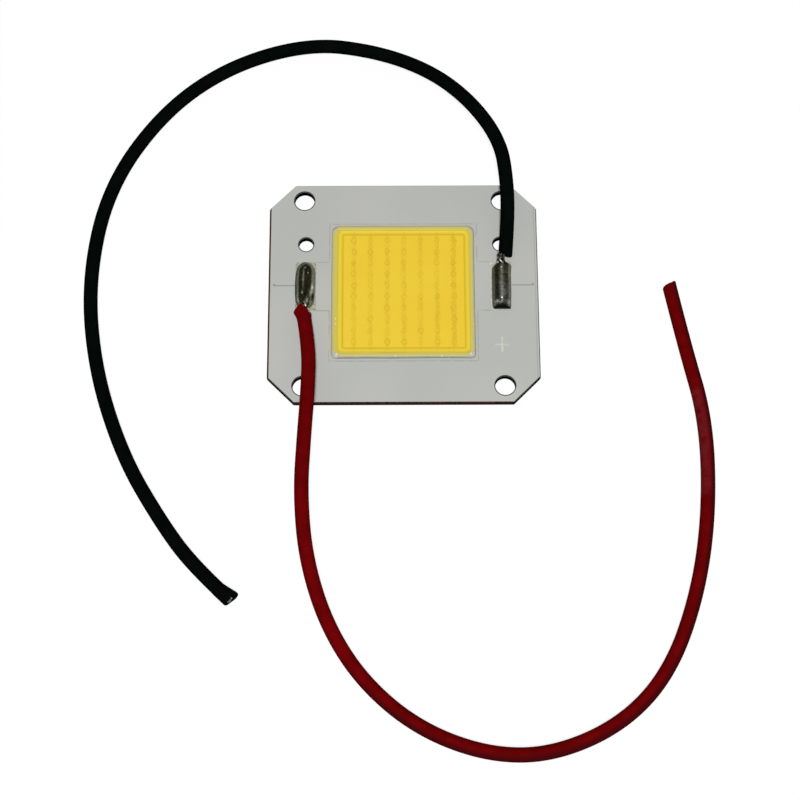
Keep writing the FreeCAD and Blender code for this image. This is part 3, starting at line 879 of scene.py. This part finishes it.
def makeDam():
    # a bead carried round the square: its half width times a power of the cosine of an angle that turns
    # over it, its height times a power of the sine, with slow sine waves round the ring and fuller lower
    # corners
    shape = damShape
    path, normal = roundedSquare(shape["middle"], shape["cornerRadius"], shape["straightSteps"],
                                 shape["cornerSteps"])
    turn = circle(len(path))
    waves = [high * np.sin(count * turn + start) for high, count, start in shape["waves"]]
    waver = shape["waver"] * sum(waves)
    corner = np.clip((np.abs(path).min(axis=1) - shape["cornerFrom"]) / shape["cornerRun"], 0, 1)
    bulge = corner ** 4 * np.where(path[:, 1] < 0, shape["bulge"], shape["upperBulge"])
    angle = np.linspace(math.pi, 0, shape["sectionSteps"])
    widthPower, heightPower = shape["powers"]
    offset = np.sign(np.cos(angle)) * np.abs(np.cos(angle)) ** widthPower
    facing = np.maximum(np.concatenate([normal, -normal], axis=1), 0) ** 2
    shade, reach = facing @ shape["footShade"], facing @ shape["footReach"]
    outward = (waver * shape["widen"] + bulge + reach)[:, None] * np.maximum(offset, 0)
    spread = shape["halfWidth"] * offset + outward
    # the inner foot stays clear of the corner's centre
    inner = shape["halfWidth"] + (shape["cornerRadius"] - shape["innerGap"] - shape["halfWidth"]) * corner
    spread = np.maximum(spread, -inner[:, None])
    raised = (shape["crown"] - shape["base"]) * (1 - shape["sink"] + shape["heighten"] * waver)
    points = np.empty((*spread.shape, 3))
    points[..., :2] = path[:, None, :] + normal[:, None, :] * spread[..., None]
    points[..., 2] = shape["base"] + raised[:, None] * np.sin(angle) ** heightPower
    faces = gridFaces(*spread.shape, wrapRows=True, wrapColumns=True)
    dam = makePiece("siliconeDam", points * mm, faces, damSilicone, ["dam_ring"])
    # on the outer half the foot's painted shade decides how far towards the dark end of the colours it
    # reaches
    across = 0.5 + offset * np.where(offset > 0, shade[:, None], 1.0) / 2
    paler = np.minimum(across + shape["pale"] * corner[:, None] ** 2, shape["palest"])
    giveValues(dam, "across", np.maximum(across, paler))


makeDam()

# Gel

gelShape = dict(
    half=11.25, steps=150,
    level=1.84, floor=1.31,
    meniscus=0.1, meniscusWidth=0.55,
    groove=0.012, grooveAt=10.42, grooveWidth=0.12,
    swell=0.004, swellWaves=(1.1, 0.4, 0.9),
)


def makeGel():
    # a flat field that climbs at the dam by the square of the way there, less a bell-shaped groove over the
    # window's edge, plus a sine along x times a sine along y
    shape = gelShape
    line = np.linspace(-shape["half"], shape["half"], shape["steps"])
    line = np.concatenate([line[:1], line, line[-1:]])
    x, y = np.meshgrid(line, line, indexing="ij")
    ring = np.maximum(np.abs(x), np.abs(y))
    climb = np.clip((ring - shape["half"]) / shape["meniscusWidth"] + 1, 0, 1)
    groove = np.exp(-((ring - shape["grooveAt"]) / shape["grooveWidth"]) ** 2)
    alongX, startX, alongY = shape["swellWaves"]
    swell = shape["swell"] * np.sin(x * alongX + startX) * np.sin(y * alongY)
    z = shape["level"] + shape["meniscus"] * climb ** 2 - shape["groove"] * groove + swell
    z[[0, -1], :] = shape["floor"]
    z[:, [0, -1]] = shape["floor"]
    index = np.arange(z.size).reshape(z.shape)
    rim = np.concatenate([index[0, :-1], index[:-1, -1], index[-1, :0:-1], index[:0:-1, 0]])
    faces = gridFaces(*z.shape) + [rim.tolist()]
    points, faces = mergeSame(np.stack([x, y, z], -1).reshape(-1, 3), faces)
    makePiece("phosphorGel", points * mm, faces, gelSilicone, ["phosphor_gel"])


makeGel()

# Solder joints

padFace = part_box("pad_plating_right")[1].z / mm
solderShape = dict(
    rows=90, columns=48, smoothOver=9,
    # power of the sine over the joint
    power=0.75,
    ripple=0.02,
    crestWidth=0.22,
    capLength=0.2,
)
rightSolder = dict(
    centre=16.68,
    # along the pad (y), left edge and right edge from the centre, height
    stations=[
        (-3.25, -1.15, 1.45, 0.5), (-3.15, -1.38, 1.55, 0.8), (-2.8, -1.56, 1.6, 1.15),
        (-2.2, -1.62, 1.64, 1.4), (-0.5, -1.63, 1.68, 1.55), (2.2, -1.63, 1.7, 1.6),
        (3.6, -1.62, 1.72, 1.58), (4.1, -1.6, 1.76, 1.5), (4.6, -1.22, 1.82, 1.45),
        (5.0, -0.84, 1.1, 1.35), (5.3, -0.56, 0.58, 1.3),
    ],
    # painted reflection: how bright across the joint, from its left foot (-1) to its right foot (1)
    across=[
        (-1.0, 0.5), (-0.9, 0.5), (-0.82, 0.42), (-0.7, 0.3), (-0.62, 0.1), (-0.4, 0.08), (-0.28, 0.24),
        (-0.1, 0.4), (0.02, 0.46), (0.14, 0.34), (0.3, 0.24), (0.52, 0.2), (0.62, 0.28), (0.74, 0.5),
        (0.9, 0.56), (1.0, 0.5),
    ],
    # painted highlights, and painted shade where negative: across, along, their spreads, added brightness
    spots=[
        (-0.05, 0.83, 0.07, 0.013, 0.7), (0.0, 0.18, 0.07, 0.012, 0.8),
        (-0.5, 0.12, 0.17, 0.035, 0.4), (0.55, 0.1, 0.22, 0.045, 0.15),
        (0.05, 0.06, 0.3, 0.05, -0.45), (0.0, 0.0, 1.5, 0.025, -0.6), (-0.62, 0.1, 0.2, 0.05, 0.22),
        (0.62, 0.1, 0.22, 0.05, 0.12), (0.05, 0.4, 0.5, 0.16, 0.08), (0.3, 0.28, 0.2, 0.07, 0.12),
        (-0.1, 0.95, 0.5, 0.04, -0.25),
    ],
    capFrom=1.0,
    ridge=0.04,
    ridgeAt=-0.05,
    seed=4,
)
leftSolder = dict(
    centre=-16.72,
    stations=[
        (-2.95, -0.8, 0.75, 0.95), (-2.6, -1.3, 1.2, 1.3), (-1.8, -1.65, 1.52, 1.5),
        (-0.4, -1.76, 1.66, 1.45), (1.6, -1.76, 1.74, 1.5), (3.4, -1.66, 1.74, 1.4),
        (4.4, -1.35, 1.5, 1.1), (5.05, -0.9, 1.0, 0.65), (5.38, -0.4, 0.45, 0.3),
    ],
    # painted reflection: how bright across the joint
    across=[
        (-1.0, 0.34), (-0.93, 0.24), (-0.84, 0.44), (-0.66, 0.52), (-0.56, 0.14), (-0.4, 0.08), (0.54, 0.1),
        (0.66, 0.44), (0.8, 0.62), (1.0, 0.6),
    ],
    # painted highlights, and painted shade where negative
    spots=[
        (-0.16, 0.62, 0.1, 0.24, 0.5), (-0.02, 0.83, 0.08, 0.015, 0.7),
        (0.28, 0.71, 0.07, 0.022, 0.7), (0.2, 0.63, 0.05, 0.01, 0.45),
        (-0.24, 0.27, 0.08, 0.035, 0.6), (0.72, 0.4, 0.13, 0.08, 0.34),
        (0.55, 0.27, 0.16, 0.08, 0.4), (0.33, 0.12, 0.18, 0.08, 0.42), (0.84, 0.2, 0.1, 0.08, -0.6),
        (-0.75, 0.08, 0.2, 0.12, 0.15),
    ],
    capFrom=0.8,
    ridge=0.1,
    ridgeAt=-0.15,
    seed=9,
)


def smoothNoise(rows, columns, seed, waves=7):
    # a sum of slow sine waves with seeded phases, from about -1 to 1
    random = np.random.default_rng(seed)
    u = np.linspace(0, 1, rows)[:, None]
    v = np.linspace(0, 1, columns)[None, :]
    total = np.zeros((rows, columns))
    for wave in range(waves):
        fu, fv = random.uniform(1, 6, 2)
        total += np.sin(2 * math.pi * (fu * u + fv * v) + random.uniform(0, 2 * math.pi)) / waves
    return total


def makeSolder(name, solder, replaced):
    # upright sections along the pad: across by the cosine of an angle that turns over the joint, up by a
    # power of its sine, with a bell-shaped crest over the strands and slow ripples
    shape = solderShape
    rows, columns = shape["rows"], shape["columns"]
    table = np.array(solder["stations"])
    along = np.linspace(0, 1, rows)
    spaced = np.concatenate([[0], np.cumsum(np.linalg.norm(np.diff(table, axis=0), axis=1))])
    kernel = np.hanning(shape["smoothOver"])
    kernel /= kernel.sum()
    fitted = []
    for column in table.T:
        padded = np.pad(np.interp(along, spaced / spaced[-1], column), len(kernel) // 2, mode="reflect",
                        reflect_type="odd")
        fitted.append(np.convolve(padded, kernel, mode="valid")[:, None])
    y, left, right, high = fitted
    angle = np.linspace(math.pi, 0, columns)
    across = (left + right) / 2 + (right - left) / 2 * np.cos(angle)
    lift = np.sin(angle) ** shape["power"]
    ripple = 1 + shape["ripple"] * smoothNoise(rows, columns, solder["seed"])
    crest = solder["ridge"] * np.exp(-((across - solder["ridgeAt"]) / shape["crestWidth"]) ** 2)
    z = padFace + high * lift * ripple + crest * np.sin(math.pi * along)[:, None] * lift
    points = np.stack([solder["centre"] + across, np.broadcast_to(y, across.shape), z], -1)
    joint = makePiece(name, points * mm, tubeFaces(rows, columns), solderMetal, replaced)
    side = np.cos(angle)[None, :]
    share = (y - y[0]) / (y[-1] - y[0])
    # the painted light and shade of the foot runs on round the far end
    cap = np.clip((share - solder["capFrom"]) / shape["capLength"], 0, 1)
    edge = np.minimum(np.hypot(side, cap), 1.0) * np.where(side < 0, -1, 1)
    # painted reflection, highlights and shade, as a brightness for each place
    glint = np.interp(edge, *np.array(solder["across"]).T)
    for spotSide, spotShare, wide, long, more in solder["spots"]:
        glint = glint + more * np.exp(-((side - spotSide) / wide) ** 2 - ((share - spotShare) / long) ** 2)
    giveValues(joint, "glint", glint)


makeSolder("solderJointRight", rightSolder, ["solder_joint_right"])
makeSolder("solderJointLeft", leftSolder, ["solder_joint_left"])

# Stripped strands

strandShape = dict(outer=4, thickness=0.52, spread=0.47, twist=0.9, rows=30, sides=12)
rightBundle = dict(path=[(17.1, 7.2, 3.0), (16.5, 6.3, 3.1), (16.68, 4.7, 2.2)])
leftBundle = dict(path=[(-16.97, -5.0, 2.88), (-17.1, -3.4, 2.6), (-17.05, -1.6, 2.0)])


def makeStrands(name, centres, ring, replaced):
    # a tube round each centre line, all with the same ring of points
    centres = np.array(centres)
    points = centres[:, :, None, :] + ring
    rows, sides = points.shape[1:3]
    faces = [face for k in range(len(centres)) for face in tubeFaces(rows, sides, start=k * rows * sides)]
    return makePiece(name, points * mm, faces, strandMetal, replaced)


def makeBundle(name, bundle, replaced):
    # strands wound round a quadratic curve from the first point to the last, steered by the middle one
    shape = strandShape
    a, b, c = np.array(bundle["path"])
    t = np.linspace(0, 1, shape["rows"])[:, None]
    path = (1 - t) ** 2 * a + 2 * t * (1 - t) * b + t ** 2 * c
    side, up = crossWays(unit(np.gradient(path, axis=0)))
    centres = []
    for strand in range(shape["outer"]):
        turn = 2 * math.pi * (strand / shape["outer"] + shape["twist"] * t)
        centres.append(path + shape["spread"] * (np.cos(turn) * side + np.sin(turn) * up))
    ring = roundWay(circle(shape["sides"]), side, up) * shape["thickness"] / 2
    makeStrands(name, [*centres, path], ring, replaced)


makeBundle("bareStrandsRight", rightBundle, ["bare_strands_right"])
makeBundle("bareStrandsLeft", leftBundle, ["bare_strands_left"])

# Cut ends of the insulation: a short sleeve whose edge follows the cut

sleeveShape = dict(
    outer=1.212, bore=0.7,
    rows=20, columns=72,
    # the flare turns back at the lip, by a share that grows with a high power
    lipBack=0.4, lipPower=10,
    innerFlare=0.4,
    startStep=0.08, lipStep=0.06, innerStep=0.02,
    clearance=0.006,
)


def makeSleeve(name, tip, way, cut, material):
    # a ring profile carried round the lead's end: the edge gives (degrees, how far past the end, flare),
    # and the radius is the lead's plus the flare times a power of the way along
    shape = sleeveShape
    way = unit(way)
    angle = circle(shape["columns"])
    degrees, reach, flare = np.array(cut["edge"]).T
    past = np.interp(np.degrees(angle), degrees, reach, period=360)
    flared = np.interp(np.degrees(angle), degrees, flare, period=360)
    share = np.linspace(0, 1, shape["rows"])[:, None]
    outerAlong = share * (past + cut["inside"]) - cut["inside"]
    opened = share ** cut["swell"] * flared
    outerRadius = shape["outer"] + opened - shape["lipBack"] * share ** shape["lipPower"] * flared
    outerRadius[0] -= shape["startStep"]
    outerRadius[-1] -= shape["lipStep"]
    along = np.concatenate([outerAlong, outerAlong[::-1] - shape["innerStep"]])
    radius = np.concatenate([outerRadius, shape["bore"] + shape["innerFlare"] * opened[::-1]])
    ring = roundWay(angle, *crossWays(way))
    points = np.array(tip) / mm + along[..., None] * way + radius[..., None] * ring
    # the far ends lie just clear of the floor
    points[..., 2] = np.maximum(points[..., 2], shape["clearance"])
    faces = gridFaces(*along.shape, wrapRows=True, wrapColumns=True)
    return makePiece(name, points * mm, faces, material)


def endOf(route, end):
    # the end point of a route and the way out of it
    tip, inner = (route[0], route[1]) if end == "Start" else (route[-1], route[-2])
    return tip, np.array(tip) - np.array(inner)


cuts = dict(
    blackStart=dict(inside=1.4, swell=3, edge=[
        (0, 0.3, 0.0), (45, 0.7, 0.0), (90, 1.15, 0.0), (135, 1.2, 0.0), (180, 1.05, 0.03), (225, 1.1, 0.0),
        (270, 0.95, 0.0), (315, 0.5, 0.0),
    ]),
    redStart=dict(inside=1.4, swell=3, edge=[
        (0, 0.0, 0.2), (30, 0.0, 0.2), (43, 0.05, 0.1), (48, 0.85, 0.0), (72, 1.15, 0.0), (98, 1.8, 0.0),
        (112, 1.6, 0.0), (150, 1.15, 0.28), (180, 0.95, 0.62), (270, 0.5, 0.1),
    ]),
    blackEnd=dict(inside=2.8, swell=1.3, edge=[
        (0, 0.1, 0.05), (45, 0.15, 0.0), (90, 0.12, 0.0), (135, 0.16, 0.3), (180, 0.5, 0.62),
        (225, 0.45, 0.3), (270, 0.25, 0.0),
    ]),
    redEnd=dict(inside=1.4, swell=3, edge=[
        (0, 1.05, 0.0), (12, 0.8, 0.0), (50, 0.6, 0.0), (90, 0.42, 0.0), (135, 0.25, 0.0), (180, 0.05, 0.0),
        (270, 0.1, 0.0), (330, 0.4, 0.0),
    ]),
)
endStrands = dict(
    # rings of strands: distance from the middle, count
    rings=[(0, 1), (0.24, 6), (0.44, 11)],
    ringTurn=3,
    thickness=0.22,
    out=0.22, shortest=0.55,
    inside=0.5,
    tipSize=0.6,
    sides=10,
)


def makeEndStrands(name, route, replaced):
    # straight strands in rings, each cut at its own length
    shape = endStrands
    tip, way = endOf(route, "End")
    way = unit(way)
    side, up = crossWays(way)
    random = np.random.default_rng(len(route))
    along = np.array([-shape["inside"], 0.0, 1.0, 1.0])
    centres = []
    for away, count in shape["rings"]:
        for turn in circle(count) + away * shape["ringTurn"]:
            out = shape["out"] * random.uniform(shape["shortest"], 1.0)
            centre = np.array(tip) / mm + away * (math.cos(turn) * side + math.sin(turn) * up)
            centres.append(centre + (along * np.where(along > 0, out, 1.0))[:, None] * way)
    size = np.array([1.0, 1.0, 1.0, shape["tipSize"]])[:, None, None]
    ring = roundWay(circle(shape["sides"]), side, up) * shape["thickness"] / 2
    return makeStrands(name, centres, size * ring, replaced)


for lead, cord, name, plastic, slotName, tipName, tipNode in (
    (blackLead, blackCord, "black", blackPlastic, "black_insulation", "strandEndBlack", "strand_end_black"),
    (redLead, redCord, "red", redPlastic, "red_insulation", "strandEndRed", "strand_end_red"),
):
    for end in ("Start", "End"):
        tip, way = endOf(lead["route"], end)
        makeSleeve(name + "Sleeve" + end, tip, way, cuts[name + end], plastic)
    makeEndStrands(tipName, lead["route"], [tipNode])

# Floor, light and camera

studio = dict(
    floorSize=3.0,
    # linear colours
    floorSeen=[1.0, 1.0, 1.0, 1.0],
    floorLit=[0.5, 0.5, 0.5, 1.0],
    whiteShare=0.87,
    skyLight=0.18,
    lamps=[
        # place, size, power, aimed at the plate
        ((-0.003, -0.38, 0.93), 0.12, 9.3),
    ],
)


def shownWhite(nodes):
    # 1 for rays of the camera, and for those mirrored in or passing through a surface
    rays = nodes.add("ShaderNodeLightPath")
    total = nodes.out(rays, "Is Camera Ray")
    for other in ("Is Glossy Ray", "Is Transmission Ray"):
        total = nodes.larger(total, nodes.out(rays, other))
    return total


def makeFloor():
    half = studio["floorSize"] / 2
    corners = [(-half, -half, 0), (half, -half, 0), (half, half, 0), (-half, half, 0)]
    mesh = bpy.data.meshes.new("floor")
    mesh.from_pydata(corners, [], [(0, 1, 2, 3)])
    material = bpy.data.materials.new("paleFloor")
    mesh.materials.append(material)
    nodes = Nodes(material)
    seen = shownWhite(nodes)
    matte = nodes.add("ShaderNodeBsdfDiffuse")
    nodes.feed(nodes.blend(seen, studio["floorLit"], studio["floorSeen"]), matte.inputs["Color"])
    share = seen * studio["whiteShare"]
    nodes.show("ShaderNodeOutputMaterial", share, matte, nodes.add("ShaderNodeEmission"))
    addObject("floor", mesh)


def makeSky():
    world = bpy.data.worlds.new("paleSky")
    bpy.context.scene.world = world
    nodes = Nodes(world)
    skies = []
    for strength in (studio["skyLight"], 1.0):
        sky = nodes.add("ShaderNodeBackground")
        sky.inputs["Color"].default_value = (1, 1, 1, 1)
        sky.inputs["Strength"].default_value = strength
        skies.append(sky)
    nodes.show("ShaderNodeOutputWorld", shownWhite(nodes), *skies)


def hangLamps():
    for number, (place, size, power) in enumerate(studio["lamps"]):
        data = bpy.data.lights.new("lamp%d" % number, "AREA")
        data.size = size
        data.energy = power
        lamp = addObject("lamp%d" % number, data)
        lamp.location = place
        lamp.rotation_euler = (-Vector(place)).to_track_quat("-Z", "Y").to_euler()


view = dict(place=(-0.001047, -0.1301, 0.31653), tilt=19.335, turn=-0.2055, lens=90.0, sensor=36.0)


def placeCamera():
    data = bpy.data.cameras.new("camera")
    data.lens = view["lens"]
    data.sensor_width = view["sensor"]
    data.clip_start = 0.01
    camera = addObject("camera", data)
    camera.location = view["place"]
    camera.rotation_euler = (math.radians(view["tilt"]), 0, math.radians(view["turn"]))
    bpy.context.scene.camera = camera


makeFloor()
makeSky()
hangLamps()
placeCamera()
bpy.context.scene.view_settings.view_transform = "Standard"
print("studio ready")
